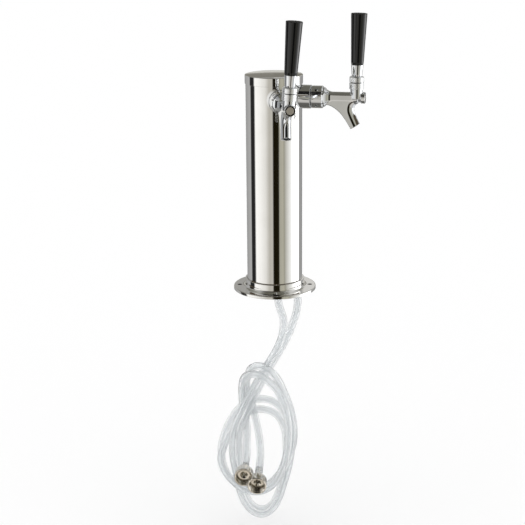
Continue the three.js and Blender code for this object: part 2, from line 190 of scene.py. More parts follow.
polished = metal("polished_steel", (0.86, 0.855, 0.835), (0.90, 0.895, 0.88), (0.03, 0.09),
                 260, (1, 1, 0.03), 1.2e-6)
chrome = metal("chrome_plate", (0.78, 0.795, 0.815), (0.84, 0.855, 0.875), (0.02, 0.07),
               340, (1, 1, 1), 2.0e-6)
satin = metal("satin_chrome", (0.90, 0.915, 0.93), (0.95, 0.965, 0.98), (0.26, 0.36),
              1100, (1, 1, 0.15), 6e-6)
nickel = metal("nickel_plate", (0.72, 0.68, 0.61), (0.86, 0.82, 0.75), (0.05, 0.13),
               500, (1, 1, 1), 4e-6)
machined = metal("machined_steel", (0.60, 0.60, 0.59), (0.72, 0.72, 0.71), (0.14, 0.28),
                 900, (1, 1, 1), 4e-6)
# A near-black metal: painted shade on the walls of the flange's screw holes and in the groove at the
# faucet's end.
painted_shade = metal("dull_edge", (0.05, 0.045, 0.04), (0.11, 0.10, 0.09), (0.3, 0.5),
               1500, (1, 1, 1), 4e-6)
plug_end = metal("plug_end", (0.70, 0.66, 0.60), (0.80, 0.76, 0.70), (0.34, 0.5),
                 900, (1, 1, 1), 4e-6)
brass = metal("turned_brass", (0.68, 0.52, 0.27), (0.78, 0.62, 0.36), (0.18, 0.32),
              900, (1, 1, 1), 5e-6)

phenolic = new_material("black_phenolic", IOR=1.5)
tones_of(phenolic, noise(phenolic, 900), (0.002, 0.002, 0.002), (0.005, 0.005, 0.005))
gloss_of(phenolic, noise(phenolic, 220, detail=5), 0.04, 0.09)
bumped(phenolic, noise(phenolic, 420, detail=2), 3e-6)

matte_end = new_material("phenolic_end", IOR=1.5, Specular_IOR_Level=0.2)
tones_of(matte_end, noise(matte_end, 900), (0.002, 0.002, 0.002), (0.006, 0.006, 0.006))
gloss_of(matte_end, noise(matte_end, 1400, detail=5), 0.5, 0.7)

acetal = new_material("white_acetal", Subsurface_Weight=0.15, Subsurface_Scale=0.002)
tones_of(acetal, noise(acetal, 160), (0.76, 0.75, 0.70), (0.84, 0.83, 0.79))
gloss_of(acetal, noise(acetal, 700), 0.35, 0.5)
bumped(acetal, noise(acetal, 1200), 6e-6)

rubber = new_material("black_rubber")
tones_of(rubber, noise(rubber, 250), (0.014, 0.014, 0.015), (0.03, 0.03, 0.03))
gloss_of(rubber, noise(rubber, 1500), 0.6, 0.8)
bumped(rubber, noise(rubber, 1800, detail=6), 1.5e-5)

vinyl = new_material("clear_vinyl", IOR=1.3, Transmission_Weight=0.8)
tones_of(vinyl, spread(vinyl, noise(vinyl, 30), 0, 1), (0.93, 0.95, 0.96), (0.96, 0.972, 0.98))
gloss_of(vinyl, noise(vinyl, 180, detail=4), 0.12, 0.26)
bumped(vinyl, noise(vinyl, 120), 4e-5)

# ---- Meshes ----


def unit(vectors):
    return vectors / np.maximum(np.linalg.norm(vectors, axis=-1, keepdims=True), 1e-12)


def mesh_of(name, points, faces, normals, place):
    """A mesh in metres from points in millimetres, with its true normals, put in place."""
    turn = np.array(place.to_3x3())
    points = (np.asarray(points) @ turn.T + np.array(place.translation)) * 0.001
    mesh = bpy.data.meshes.new(name)
    mesh.from_pydata(points.tolist(), [], [list(map(int, face)) for face in faces])
    mesh.shade_smooth()
    if normals is not None:
        mesh.normals_split_custom_set_from_vertices((unit(np.asarray(normals)) @ turn.T).tolist())
    return mesh


def piece(name, mesh, finish, body, nodes):
    """An object for the mesh, which rides on a body and stands for its CAD nodes."""
    obj = bpy.data.objects.new(name, mesh)
    bpy.context.scene.collection.objects.link(obj)
    mesh.materials.append(finish)
    if "more" in mesh:
        for other in mesh["more"].split(","):
            mesh.materials.append(bpy.data.materials[other])
    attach(obj, body)
    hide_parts(*nodes)
    return obj


def softened(profile, ring, steps=4):
    """A profile of (radius, height, fillet) corners as points with normals, every corner rounded."""
    corners = np.array([corner[:2] for corner in profile], float)
    fillets = [corner[2] if len(corner) > 2 else 0.15 for corner in profile]
    count = len(corners)
    closed = np.vstack([corners, corners[:1]])
    area = np.sum(closed[:-1, 0] * closed[1:, 1] - closed[1:, 0] * closed[:-1, 1])
    hand = 1 if area > 0 else -1
    points, normals = [], []
    for i in range(count):
        if not ring and i in (0, count - 1):
            along = corners[1] - corners[0] if i == 0 else corners[-1] - corners[-2]
            points.append(corners[i])
            normals.append(hand * np.array([along[1], -along[0]]) / np.hypot(*along))
            continue
        before, here, after = corners[i - 1], corners[i], corners[(i + 1) % count]
        back, on = before - here, after - here
        reach = min(np.hypot(*back), np.hypot(*on)) * 0.49
        turn = math.pi - math.acos(np.clip(back @ on / np.hypot(*back) / np.hypot(*on), -1, 1))
        cut = min(fillets[i] * math.tan(turn / 2), reach)
        start = here + back / np.hypot(*back) * cut
        end = here + on / np.hypot(*on) * cut
        for k in range(steps + 1):
            t = k / steps
            points.append((1 - t) ** 2 * start + 2 * t * (1 - t) * here + t * t * end)
            slope = (1 - t) * (here - start) + t * (end - here)
            normals.append(hand * np.array([slope[1], -slope[0]]) / np.hypot(*slope))
    return np.array(points), np.array(normals)


def revolve(points, normals, ring, sides):
    """Turns a softened profile about +Z."""
    angles = np.arange(sides) * 2 * math.pi / sides
    cos, sin = np.cos(angles), np.sin(angles)
    grid = np.stack([np.outer(points[:, 0], cos), np.outer(points[:, 0], sin),
                     np.outer(points[:, 1], np.ones(sides))], -1)
    bend = np.stack([np.outer(normals[:, 0], cos), np.outer(normals[:, 0], sin),
                     np.outer(normals[:, 1], np.ones(sides))], -1)
    rows = len(points)
    index = np.arange(rows * sides).reshape(rows, sides)
    if not ring:
        index[0] = index[0, 0]
        index[-1] = index[-1, 0]
    upper = np.roll(index, -1, axis=0) if ring else index[1:]
    lower = index if ring else index[:-1]
    faces = []
    for low, high in zip(lower, upper):
        for j in range(sides):
            k = (j + 1) % sides
            face = []
            for corner in (low[j], low[k], high[k], high[j]):
                if corner not in face:
                    face.append(corner)
            if len(face) > 2:
                faces.append(face)
    used = np.unique(np.concatenate([np.array(face) for face in faces]))
    renumber = np.full(rows * sides, -1)
    renumber[used] = np.arange(len(used))
    faces = [renumber[face] for face in faces]
    return grid.reshape(-1, 3)[used], faces, bend.reshape(-1, 3)[used]


def facing_out(points, faces, normals):
    """The faces, all turned to agree with the normals."""
    first = faces[0]
    a, b, c = (points[first[k]] for k in (0, 1, 2))
    if np.cross(b - a, c - a) @ normals[first[0]] < 0:
        return [face[::-1] for face in faces]
    return faces


def lathe(profile, ring=False, sides=96):
    points, normals = softened(profile, ring)
    grid, faces, bend = revolve(points, normals, ring, sides)
    return grid, facing_out(grid, faces, bend), bend


def threaded(profile, ring, start, end, radius, depth, pitch=1.8, sides=64):
    """A lathed piece with a helical thread on the wall of that radius between two heights."""
    points, normals = softened(profile, ring)
    wall = [i for i in range(len(points) - 1)
            if abs(points[i, 0] - radius) < 1e-6 and abs(points[i + 1, 0] - radius) < 1e-6]
    i = max(wall, key=lambda k: abs(points[k + 1, 1] - points[k, 1]))
    low, high = points[i, 1], points[i + 1, 1]
    count = int(abs(high - low) / pitch * 8)
    heights = np.linspace(low, high, count + 2)[1:-1]
    extra = np.column_stack([np.full(count, radius), heights])
    points = np.vstack([points[: i + 1], extra, points[i + 1:]])
    normals = np.vstack([normals[: i + 1], np.repeat(normals[i:i + 1], count, 0), normals[i + 1:]])
    grid, faces, bend = revolve(points, normals, ring, sides)
    faces = facing_out(grid, faces, bend)
    reach = np.hypot(grid[:, 0], grid[:, 1])
    on_wall = np.abs(reach - radius) < 1e-6
    phase = grid[:, 2] / pitch - np.arctan2(grid[:, 1], grid[:, 0]) / (2 * math.pi)
    wave = 0.5 - 0.5 * np.cos(2 * math.pi * phase)
    fade = np.clip((grid[:, 2] - start) / pitch, 0, 1) * np.clip((end - grid[:, 2]) / pitch, 0, 1)
    shift = np.where(on_wall, depth * wave * fade, 0)
    grid[:, :2] *= ((reach + shift) / np.maximum(reach, 1e-9))[:, None]
    return grid, faces, None


# ---- Solids blended from distance fields ----


def smooth_min(a, b, k):
    """The smaller of two fields, blended over a width k."""
    h = np.maximum(k - np.abs(a - b), 0) / k
    return np.minimum(a, b) - h * h * k / 4


def smooth_max(a, b, k):
    return -smooth_min(-a, -b, k)


def cylinder_field(across, along, radius, start, end, edge=0.3):
    """A cylinder by distance from its axis and place along it, its edges eased."""
    return smooth_max(across - radius, np.abs(along - (start + end) / 2) - abs(end - start) / 2, edge)


def polygon_field(x, y, corners):
    """Signed distance to a closed outline in a plane."""
    corners = np.asarray(corners, float)
    best = np.full(x.shape, 1e9)
    sign = np.ones(x.shape)
    for (ax, ay), (bx, by) in zip(corners, np.roll(corners, 1, axis=0)):
        ex, ey = bx - ax, by - ay
        wx, wy = x - ax, y - ay
        t = np.clip((wx * ex + wy * ey) / (ex * ex + ey * ey), 0, 1)
        best = np.minimum(best, (wx - t * ex) ** 2 + (wy - t * ey) ** 2)
        above_a, below_b, left = y >= ay, y < by, ex * wy > ey * wx
        flip = (above_a & below_b & left) | (~above_a & ~below_b & ~left)
        sign = np.where(flip, -sign, sign)
    return sign * np.sqrt(best)


def surface(field, low, high, step):
    """The field's zero surface: one vertex to a cell, moved onto the surface, with its normals."""
    axes = [np.arange(a, b + step, step) for a, b in zip(low, high)]
    space = np.stack(np.meshgrid(*axes, indexing="ij"), -1)
    values = field(space[..., 0], space[..., 1], space[..., 2])
    inside = values < 0
    cells = tuple(n - 1 for n in inside.shape)
    count = np.zeros(cells)
    place = np.zeros((*cells, 3))
    for axis in range(3):
        others = [k for k in range(3) if k != axis]
        near = [slice(None)] * 3
        far = [slice(None)] * 3
        near[axis], far[axis] = slice(0, -1), slice(1, None)
        a, b = values[tuple(near)], values[tuple(far)]
        crosses = inside[tuple(near)] != inside[tuple(far)]
        share = np.where(crosses, a / np.where(crosses, a - b, 1), 0)
        at = space[tuple(near)].copy()
        at[..., axis] += share * step
        for i in (0, 1):
            for j in (0, 1):
                part = [slice(None)] * 3
                part[others[0]] = slice(i, i + cells[others[0]])
                part[others[1]] = slice(j, j + cells[others[1]])
                hit = crosses[tuple(part)]
                count += hit
                place += np.where(hit[..., None], at[tuple(part)], 0)
    active = count > 0
    number = np.full(cells, -1)
    number[active] = np.arange(active.sum())
    points = place[active] / count[active][:, None]
    faces = []
    for axis in range(3):
        u, v = (axis + 1) % 3, (axis + 2) % 3
        near = [slice(1, -1)] * 3
        far = [slice(1, -1)] * 3
        near[axis], far[axis] = slice(0, -1), slice(1, None)
        starts, ends = inside[tuple(near)], inside[tuple(far)]
        cross = np.argwhere(starts != ends)
        rising = starts[tuple(cross.T)]
        base = cross.copy()
        base[:, u] += 1
        base[:, v] += 1
        corners = []
        for du, dv in ((-1, -1), (0, -1), (0, 0), (-1, 0)):
            cell = base.copy()
            cell[:, u] += du
            cell[:, v] += dv
            corners.append(number[tuple(cell.T)])
        quads = np.stack(corners, 1)
        quads[~rising] = quads[~rising, ::-1]
        faces.append(quads)
    faces = np.concatenate(faces)

    def value_at(p):
        return field(p[:, 0], p[:, 1], p[:, 2])

    def slope_at(p, h=0.02):
        steps = np.eye(3) * h
        return np.stack([(value_at(p + s) - value_at(p - s)) / (2 * h) for s in steps], -1)

    for _ in range(3):
        slope = slope_at(points)
        move = (value_at(points) / np.maximum((slope ** 2).sum(-1), 0.25))[:, None] * slope
        points = points - np.clip(move, -step / 2, step / 2)
    return points, faces, slope_at(points, 0.06)


# ---- Cutting holes, with the normals kept true ----

ON_OUTLINE = 0.03


def mesh_cut(mesh, cutters, profile, ring, axes):
    """Subtracts cutter meshes from a lathed mesh that is still about +Z and in millimetres."""
    body = bpy.data.objects.new("cut_body", mesh)
    bpy.context.scene.collection.objects.link(body)
    tools = []
    for cutter in cutters:
        tool = bpy.data.objects.new("cut_tool", cutter)
        bpy.context.scene.collection.objects.link(tool)
        modifier = body.modifiers.new("cut", "BOOLEAN")
        modifier.operation = "DIFFERENCE"
        modifier.solver = "EXACT"
        modifier.object = tool
        tools.append(tool)
    graph = bpy.context.evaluated_depsgraph_get()
    result = bpy.data.meshes.new_from_object(body.evaluated_get(graph))
    for obj in [body, *tools]:
        bpy.data.objects.remove(obj)
    points = np.array([v.co for v in result.vertices])
    reach = np.hypot(points[:, 0], points[:, 1])
    outline, bend = softened(profile, ring)
    if ring:
        outline, bend = np.vstack([outline, outline[:1]]), np.vstack([bend, bend[:1]])
    best = np.full(len(points), 1e9)
    normal = np.zeros((len(points), 2))
    for a, b, na, nb in zip(outline[:-1], outline[1:], bend[:-1], bend[1:]):
        edge = b - a
        along = np.clip(((reach - a[0]) * edge[0] + (points[:, 2] - a[1]) * edge[1])
                        / max(edge @ edge, 1e-12), 0, 1)
        away = np.hypot(reach - a[0] - along * edge[0], points[:, 2] - a[1] - along * edge[1])
        nearer = away < best
        best = np.where(nearer, away, best)
        normal = np.where(nearer[:, None], na + along[:, None] * (nb - na), normal)
    turned = np.column_stack([points[:, 0] / np.maximum(reach, 1e-9) * normal[:, 0],
                              points[:, 1] / np.maximum(reach, 1e-9) * normal[:, 0], normal[:, 1]])
    loops = [None] * len(result.loops)
    for face in result.polygons:
        flat = np.array(face.normal)
        verts = [result.loops[i].vertex_index for i in face.loop_indices]
        on_lathe = max(best[v] for v in verts) < ON_OUTLINE and flat @ turned[verts].mean(0) > 0.5
        for i, v in zip(face.loop_indices, verts):
            if on_lathe:
                loops[i] = tuple(turned[v])
                continue
            towards = [(p + d * ((points[v] - p) @ d)) - points[v] for p, d in axes]
            nearest = min(towards, key=lambda t: np.hypot(*(t[:2])) + abs(t[2]))
            loops[i] = tuple(nearest / max(np.linalg.norm(nearest), 1e-9))
    return result, points, loops


def cut_piece(name, profile, ring, holes, place, sides=160):
    """A lathed mesh with round holes, each a (point, direction, radius, length) in its own frame."""
    grid, faces, bend = lathe(profile, ring, sides)
    mesh = bpy.data.meshes.new(name)
    mesh.from_pydata(grid.tolist(), [], [list(map(int, face)) for face in faces])
    cutters = []
    axes = []
    for point, direction, radius, length in holes:
        tool_grid, tool_faces, _ = lathe([(0, 0), (radius, 0, 0.01), (radius, length, 0.01), (0, length)],
                                         sides=40)
        direction = np.array(direction, float) / np.linalg.norm(direction)
        turn = Vector((0, 0, 1)).rotation_difference(Vector(direction)).to_matrix()
        tool_grid = tool_grid @ np.array(turn).T + np.array(point)
        tool = bpy.data.meshes.new("tool")
        tool.from_pydata(tool_grid.tolist(), [], [list(map(int, face)) for face in tool_faces])
        cutters.append(tool)
        axes.append((np.array(point, float), direction))
    result, points, loops = mesh_cut(mesh, cutters, profile, ring, axes)
    result.shade_smooth()
    turn = np.array(place.to_3x3())
    points = (points @ turn.T + np.array(place.translation)) * 0.001
    result.vertices.foreach_set("co", points.astype(np.float32).ravel())
    result.update()
    result.normals_split_custom_set((unit(np.array(loops)) @ turn.T).tolist())
    result.name = name
    return result


# ---- Hoses: the same routes as the CAD part, in the bundle's own upright plane ----

ROUTES = {
    "left": [
        (2.4, -14.3, 259), (2.4, -14.3, 235), (3, -12, 120), (4, -8, 20), (5, -7, -20), (12, -5, -47),
        (10, -2, -71), (2.5, 2, -93), (-21.5, 7, -136), (-49, 6, -190), (-60, 9, -219), (-63, 14, -255),
        (-58, 24, -299), (-52.5, 27, -329), (-45, 28.5, -348), (-34.5, 29, -361), (-21.5, 29, -366),
        (-9, 29, -360.5), (1.5, 28, -345.5), (13, 26, -310), (22, 21, -266), (22, 19, -227), (12, 25, -199),
        (-1, 35, -188), (-18, 43, -186), (-37, 47.5, -190.5), (-50, 48.5, -199.5), (-60, 47, -210),
        (-69, 42, -224), (-76, 34, -240), (-80, 26, -258), (-76, 18, -284), (-63, 12, -303), (-41, 12, -314),
        (-17, 12, -313), (3, 9, -294), (18, 5, -265), (26, 1, -233), (24, 0, -195), (12, -1.5, -157),
        (0, -5, -132), (-10, -8, -120.5), (-19.5, -8, -115.5), (-28.5, -5, -116.5), (-35.5, 1, -123.5),
        (-39, 8.5, -135), (-42, 17.5, -150), (-41, 27.5, -168), (-34.5, 32, -190), (-28, 25, -215),
        (-23.5, 15, -238), (-22, 3.5, -256), (-22.8, -9, -264.5), (-23.6, -21, -267), (-25.1, -43, -269.8),
    ],
    "right": [
        (14.3, -2.6, 259), (14.3, -2.6, 235), (19, -2, 130), (28.5, 0, 12), (32, 0, -16), (31, 1, -33),
        (24, 4, -59), (13, 11, -87), (-9.5, 17.5, -129), (-24.5, 17.5, -159), (-40.5, 17.5, -196),
        (-52, 19, -228), (-54, 27, -264), (-54, 36, -300), (-48, 39.5, -330), (-42.5, 40.5, -346.5),
        (-35, 41.5, -358), (-26, 41.5, -363.5), (-16, 41.5, -363.5), (-7, 41.5, -357.5), (1, 41, -344),
        (8, 38.5, -322), (13.5, 36, -293), (16, 32, -258), (13, 30, -227), (2, 35, -208), (-17, 42, -202),
        (-36, 45, -205), (-46, 43, -210.5), (-54, 36, -218), (-61, 29, -227), (-69, 23, -236),
        (-76, 17, -250), (-80, 10, -265), (-75, 3, -281), (-63, 0, -297), (-45, 0, -311), (-23, 0, -314),
        (-4, -2, -302), (11, -6, -271), (18, -10, -234), (17, -12, -193), (5, -13, -154), (-6, -15, -139),
        (-17, -17, -129), (-25, -17.5, -124.5), (-33.5, -14.5, -124.5), (-41, -9.5, -129),
        (-45.5, -3, -137.5), (-47.5, 6, -151), (-48, 15, -166), (-47.5, 28.5, -190), (-43, 31, -214),
        (-41.8, 30, -232), (-42.5, 26, -251), (-42.5, 16.5, -264), (-43.8, 2, -270.5), (-44.8, -21.8, -270),
    ],
}
HOSE_STEP = 2.2
HOSE_SIDES = 24
INSIDE_CAD = 0.14
BARB_SWELL = 0.1
BARB_RIPPLE = 0.12
TEETH = 3
TOOTH = BARB_LENGTH / TEETH

bundle = Matrix.Rotation(math.radians(HOSE_BUNDLE_TURN), 4, "Z")


def catmull_rom(points, per_span):
    """A centripetal Catmull-Rom curve through the points."""
    points = np.array(points, float)
    first = 2 * points[0] - points[1]
    last = 2 * points[-1] - points[-2]
    chain = np.vstack([first, points, last])
    out = []
    for i in range(1, len(chain) - 2):
        p0, p1, p2, p3 = chain[i - 1:i + 3]
        d0, d1, d2 = (np.linalg.norm(b - a) ** 0.5 for a, b in ((p0, p1), (p1, p2), (p2, p3)))
        t1 = ((p1 - p0) / d0 - (p2 - p0) / (d0 + d1) + (p2 - p1) / d1) * d1
        t2 = ((p2 - p1) / d1 - (p3 - p1) / (d1 + d2) + (p3 - p2) / d2) * d1
        u = np.linspace(0, 1, per_span, endpoint=False)[:, None]
        c2 = -3 * p1 + 3 * p2 - 2 * t1 - t2
        c3 = 2 * p1 - 2 * p2 + t1 + t2
        out.append(p1 + t1 * u + c2 * u ** 2 + c3 * u ** 3)
    return np.vstack([*out, points[-1:]])


def evenly(points, step):
    """The same line with points a constant step apart."""
    run = np.concatenate([[0], np.cumsum(np.linalg.norm(np.diff(points, axis=0), axis=1))])
    at = np.linspace(0, run[-1], int(round(run[-1] / step)) + 1)
    return np.column_stack([np.interp(at, run, points[:, k]) for k in range(3)]), at


def hose_mesh(name, line, run):
    """A tube with a bore, stretched a little over the barbs at both ends."""
    along = unit(np.gradient(line, axis=0))
    across = np.zeros_like(along)
    across[0] = unit(np.cross(along[0], (0.3, 1, 0.2)))
    for i in range(1, len(along)):
        across[i] = unit(across[i - 1] - (across[i - 1] @ along[i]) * along[i])
    up = np.cross(along, across)
    from_end = np.minimum(run, run[-1] - run)
    on_barb = 0.5 - 0.5 * np.tanh((from_end - BARB_LENGTH) / 1.6)
    ripple = BARB_RIPPLE * np.cos(from_end * 2 * math.pi / TOOTH) * on_barb
    bore = HOSE_BORE_R + (BARB_R + 0.15 - HOSE_BORE_R) * on_barb
    wander = 0.05 * np.sin(run / 17) + 0.04 * np.sin(run / 7.3 + 1)
    outer = HOSE_R - INSIDE_CAD + wander + BARB_SWELL * on_barb + ripple
    angles = np.arange(HOSE_SIDES) * 2 * math.pi / HOSE_SIDES
    spokes = (across[:, None] * np.cos(angles)[None, :, None]
              + up[:, None] * np.sin(angles)[None, :, None])
    last = len(line) - 1
    rim = [0.9 * outer[i] + 0.1 * bore[i] for i in (0, last)]
    inner_rim = [0.15 * outer[i] + 0.85 * bore[i] for i in (0, last)]
    stations = [(i, outer[i]) for i in range(len(line))]
    stations += [(last, rim[1]), (last, inner_rim[1])]
    stations += [(i, bore[i]) for i in range(last, -1, -1)]
    stations += [(0, inner_rim[0]), (0, rim[0])]
    rings = np.array([line[i] + spokes[i] * radius for i, radius in stations])
    index = np.arange(len(rings) * HOSE_SIDES).reshape(len(rings), HOSE_SIDES)
    after = np.roll(index, -1, axis=0)
    faces = np.stack([index, np.roll(index, -1, axis=1), np.roll(after, -1, axis=1), after], -1)
    points = rings.reshape(-1, 3)
    faces = facing_out(points, faces.reshape(-1, 4).tolist(), {0: spokes[0, 0]})
    return mesh_of(name, points, faces, None, bundle)


def round_piece(name, profile, ring, place, finish, body, node, sides=96):
    mesh = mesh_of(name, *lathe(profile, ring, sides), place)
    return piece(name, mesh, finish, body, [node])


def field_piece(name, shape, place, finish, body, node):
    return piece(name, mesh_of(name, *shape, place), finish, body, [node])


# ---- Fittings on the hose ends ----

tailpiece_profile = [(2.5, -14.2, 0.2), (5.4, -16.1, 0.3), (9.6, -16.1, 0.3), (9.6, -13.5, 0.4),
                     (5.7, -11.4, 0.6), (5.7, -0.4, 0.4)]
for tooth in range(TEETH):
    foot = tooth * TOOTH
    tailpiece_profile += [(BARB_R, foot, 0.1), (BARB_R - 0.5, foot + TOOTH - 0.05, 0.1)]
tailpiece_profile += [(2.5, BARB_LENGTH, 0.1)]
beer_nut_profile = [(12.7, -25, 0.3), (13.5, -24.2, 0.3), (13.5, -10.5, 0.6), (12.5, -9, 0.8),
                    (8.4, -5.8, 0.8), (6.2, -5.8, 0.3), (6.2, -10.4, 0.3), (10.3, -12.6, 0.3),
                    (10.3, -23.7, 0.2), (11.6, -25, 0.2)]
beer_nut_shape = threaded(beer_nut_profile, True, -23.9, -13.4, 10.3, 0.75, sides=96)


def beer_line(prefix, route):
    """One hose with the tailpiece and nut at its far end."""
    line, run = evenly(catmull_rom(route, 24), HOSE_STEP)
    mesh = hose_mesh(f"{prefix}_beer_line", line, run)
    hose = piece(f"{prefix}_beer_line", mesh, vinyl, "tower", [f"{prefix}_hose"])

    end, before = Vector(route[-1]), Vector(route[-2])
    back = (before - end).normalized()
    turn = Vector((0, 0, 1)).rotation_difference(back).to_matrix().to_4x4()
    place = bundle @ Matrix.Translation(end - back * GAP) @ turn
    tail = round_piece(f"{prefix}_hose_tail", tailpiece_profile, True, place, nickel, "tower",
                       f"{prefix}_tailpiece", 64)
    nut = field_piece(f"{prefix}_swivel_nut", beer_nut_shape, place, nickel, f"{prefix}_beer_nut",
                      f"{prefix}_beer_nut")


for prefix, route in ROUTES.items():
    beer_line(prefix, route)

# ---- Column, cap and flange ----

AS_DRAWN = Matrix.Identity(4)


def more_finishes(mesh, finishes, chosen):
    """Finishes beside the main one, and the number of each face's finish, 0 for the main one."""
    mesh["more"] = ",".join(finish.name for finish in finishes)
    for face, number in zip(mesh.polygons, chosen):
        face.material_index = int(number)


def tap_place(prefix):
    turn = Matrix.Rotation(math.radians(SIDE[prefix] * TAP_SPREAD - 90), 4, "Z")
    return Matrix.Translation((0, 0, TAP_Z)) @ turn


shank_holes = []
for prefix in SIDE:
    outward = tap_place(prefix).to_3x3() @ Vector((1, 0, 0))
    start = Vector((0, 0, TAP_Z)) + outward * 20
    shank_holes.append((tuple(start), tuple(outward), SHANK_HOLE_R, 30))

column_profile = [(36.9, 2.6), (COLUMN_R, 2.6), (COLUMN_R, 296.4), (36.9, 296.4)]
column = cut_piece("column", column_profile, True, shank_holes, AS_DRAWN, 192)
piece("column", column, polished, "tower", ["column_tube"])

dome = [(r, 299.5 - 1.1 * (r / 38) ** 2.2, 99) for r in (4, 10, 16, 22, 28, 33, 36.4)]
cap_profile = [(0, 296.7), (38.4, 296.7, 0.2), (38.4, 286.7, 0.1), (39.1, 286.7, 0.25),
               (39.1, 298.3, 0.9), *dome[::-1], (0, 299.5)]
piece("cap", mesh_of("cap", *lathe(cap_profile, sides=192), AS_DRAWN), polished, "tower",
      ["top_cap"])

flange_profile = [(36.3, 0, 0.2), (57.1, 0, 0.3), (57.1, 4.2, 1.6), (41.1, 4.2, 4.4),
                  (40.9, 15.2, 0.7), (38.4, 15.2, 0.15), (38.4, 2.3, 0.1), (36.3, 2.3, 0.1)]
screw_holes = []
for angle in QUARTERS:
    at = Matrix.Rotation(math.radians(angle), 3, "Z") @ Vector((SCREW_CIRCLE_R, 0, -1))
    screw_holes.append((tuple(at), (0, 0, 1), SCREW_HOLE_R, 9))
flange = cut_piece("flange", flange_profile, True, screw_holes, AS_DRAWN, 192)


def on_screw_hole(x, y):
    """Whether a place on the flange, in millimetres, is on the wall of a screw hole."""
    hole = SCREW_CIRCLE_R * math.sqrt(0.5)
    return abs(math.hypot(abs(x) - hole, abs(y) - hole) - SCREW_HOLE_R) < 0.4


# The walls of the screw holes take the near-black metal, a painted shade in the holes.
more_finishes(flange, [painted_shade], [on_screw_hole(face.center.x * 1000, face.center.y * 1000)
                                 for face in flange.polygons])
piece("flange", flange, polished, "tower", ["base_flange"])

# ---- Pieces of one tap ----

ALONG_X = Matrix.Rotation(math.radians(90), 4, "Y")


def curve(*corners):
    return [tuple(point) for point in catmull_rom(corners, 5)]


WEB_FRONT = curve((128, -1.5), (121, -4.2), (117.5, -6.2), (113.6, -7.6), (110.6, -9.5), (108.9, -12.4),
                  (108.5, -16.2), (109.7, -20.4), (112.7, -27.4), (116.4, -35.1), (129, -59.2))
WEB_REAR = curve((66, -5.5), (71.5, -9.0), (77.5, -11.0), (83.7, -14.6), (90.6, -20.6), (96.2, -27.8),
                 (101.2, -35.4), (114, -59))
FRONT_ROUND = 11.0
WEB_HALF = 6.85
FLAT_START = 79.2
FLAT_END = 112.0
GROOVE_FLOOR = 120.6
GROOVE_OUTER_R = 6.4
PLUG_R = 5.1
PLUG_FACE = 123.0


def web_field(x, y, z):
    """The plate under the barrel: flat sides, an eased rear edge and a long elliptical front edge."""
    single = (slice(None), slice(0, 1)) if x.ndim == 3 else slice(None)
    flat_x, flat_z = x[single], z[single]
    to_front = polygon_field(flat_x, flat_z, [*WEB_FRONT, (30, -90), (30, 50), (128, 50)])
    to_rear = polygon_field(flat_x, flat_z, [*WEB_REAR, (160, -59), (160, -8.6), (113.8, -8.6),
                                             (113.8, 4.6), (66, 4.6)])
    inset = np.clip((FRONT_ROUND + to_front) / FRONT_ROUND, 0, None)
    front = (np.sqrt(inset ** 2 + (y / WEB_HALF) ** 2) - 1) * WEB_HALF
    tilt = math.radians(SPOUT_TILT)
    past_tip = -((x - SPOUT_TIP[0]) * -math.sin(tilt) + (z - SPOUT_TIP[2]) * math.cos(tilt))
    soft = 1.2
    a, b = to_rear + soft, np.abs(y) - WEB_HALF + soft
    eased = np.minimum(np.maximum(a, b), 0) + np.hypot(np.maximum(a, 0), np.maximum(b, 0)) - soft
    return smooth_max(smooth_max(front, eased, 0.4), past_tip, 0.5)


def faucet_field(x, y, z):
    """The cast body: turned barrel with its flats, web and spout, lever neck, and the bores."""
    round_x = np.hypot(y, z)
    turned = polygon_field(x, round_x, [
        (59.1, -1), (59.1, 12.9), (69.2, 12.9), (72.4, 9.8), (75.2, 8.25), (79.6, BARREL_R),
        (113.2, BARREL_R), (114.2, 6.1), (116.8, 6.1), (117.9, NUB_R), (NUB_END - 0.5, NUB_R),
        (NUB_END, NUB_R - 0.5), (NUB_END, GROOVE_OUTER_R), (GROOVE_FLOOR, GROOVE_OUTER_R - 0.1),
        (GROOVE_FLOOR, PLUG_R + 0.1), (PLUG_FACE, PLUG_R), (PLUG_FACE, -1)])
    flare = np.maximum(FLAT_START - x, 0) ** 2 / 24 + np.maximum(x - FLAT_END, 0) * 0.9
    turned = smooth_max(turned, np.abs(y) - WEB_HALF - flare, 0.3)
    body = smooth_min(turned, web_field(x, y, z), 0.9)
    tilt = math.radians(SPOUT_TILT)
    dx, dz = x - SPOUT_TIP[0], z - SPOUT_TIP[2]
    along = dx * -math.sin(tilt) + dz * math.cos(tilt)
    across = np.hypot(dx * math.cos(tilt) + dz * math.sin(tilt), y)
    neck_r = np.hypot(x - LEVER_X, y)
    neck = cylinder_field(neck_r, z, 8.3, -1, 11.6, 0.3)
    body = smooth_min(body, neck, 1.0)
    body = np.minimum(body, cylinder_field(neck_r, z, 8.1, 8, 14, 0.3))
    hollow = cylinder_field(round_x, x, BARREL_BORE_R, 60, 118, 0.1)
    hollow = np.minimum(hollow, cylinder_field(round_x, x, 8.2, 50, 68, 0.2))
    hollow = np.minimum(hollow, cylinder_field(neck_r, z, 7.3, 9, 16, 0.2))
    hollow = np.minimum(hollow, cylinder_field(across, along, SPOUT_BORE_R, -2, 40, 0.2))
    hollow = np.minimum(hollow, cylinder_field(across, along, SPOUT_MOUTH_R, -4, 9, 0.5))
    slot = np.maximum(np.maximum(np.abs(x - LEVER_X + 2.9) - 5.5, np.abs(y) - 2.3), np.abs(z - 6) - 6)
    return smooth_max(body, -np.minimum(hollow, slot), 0.35)


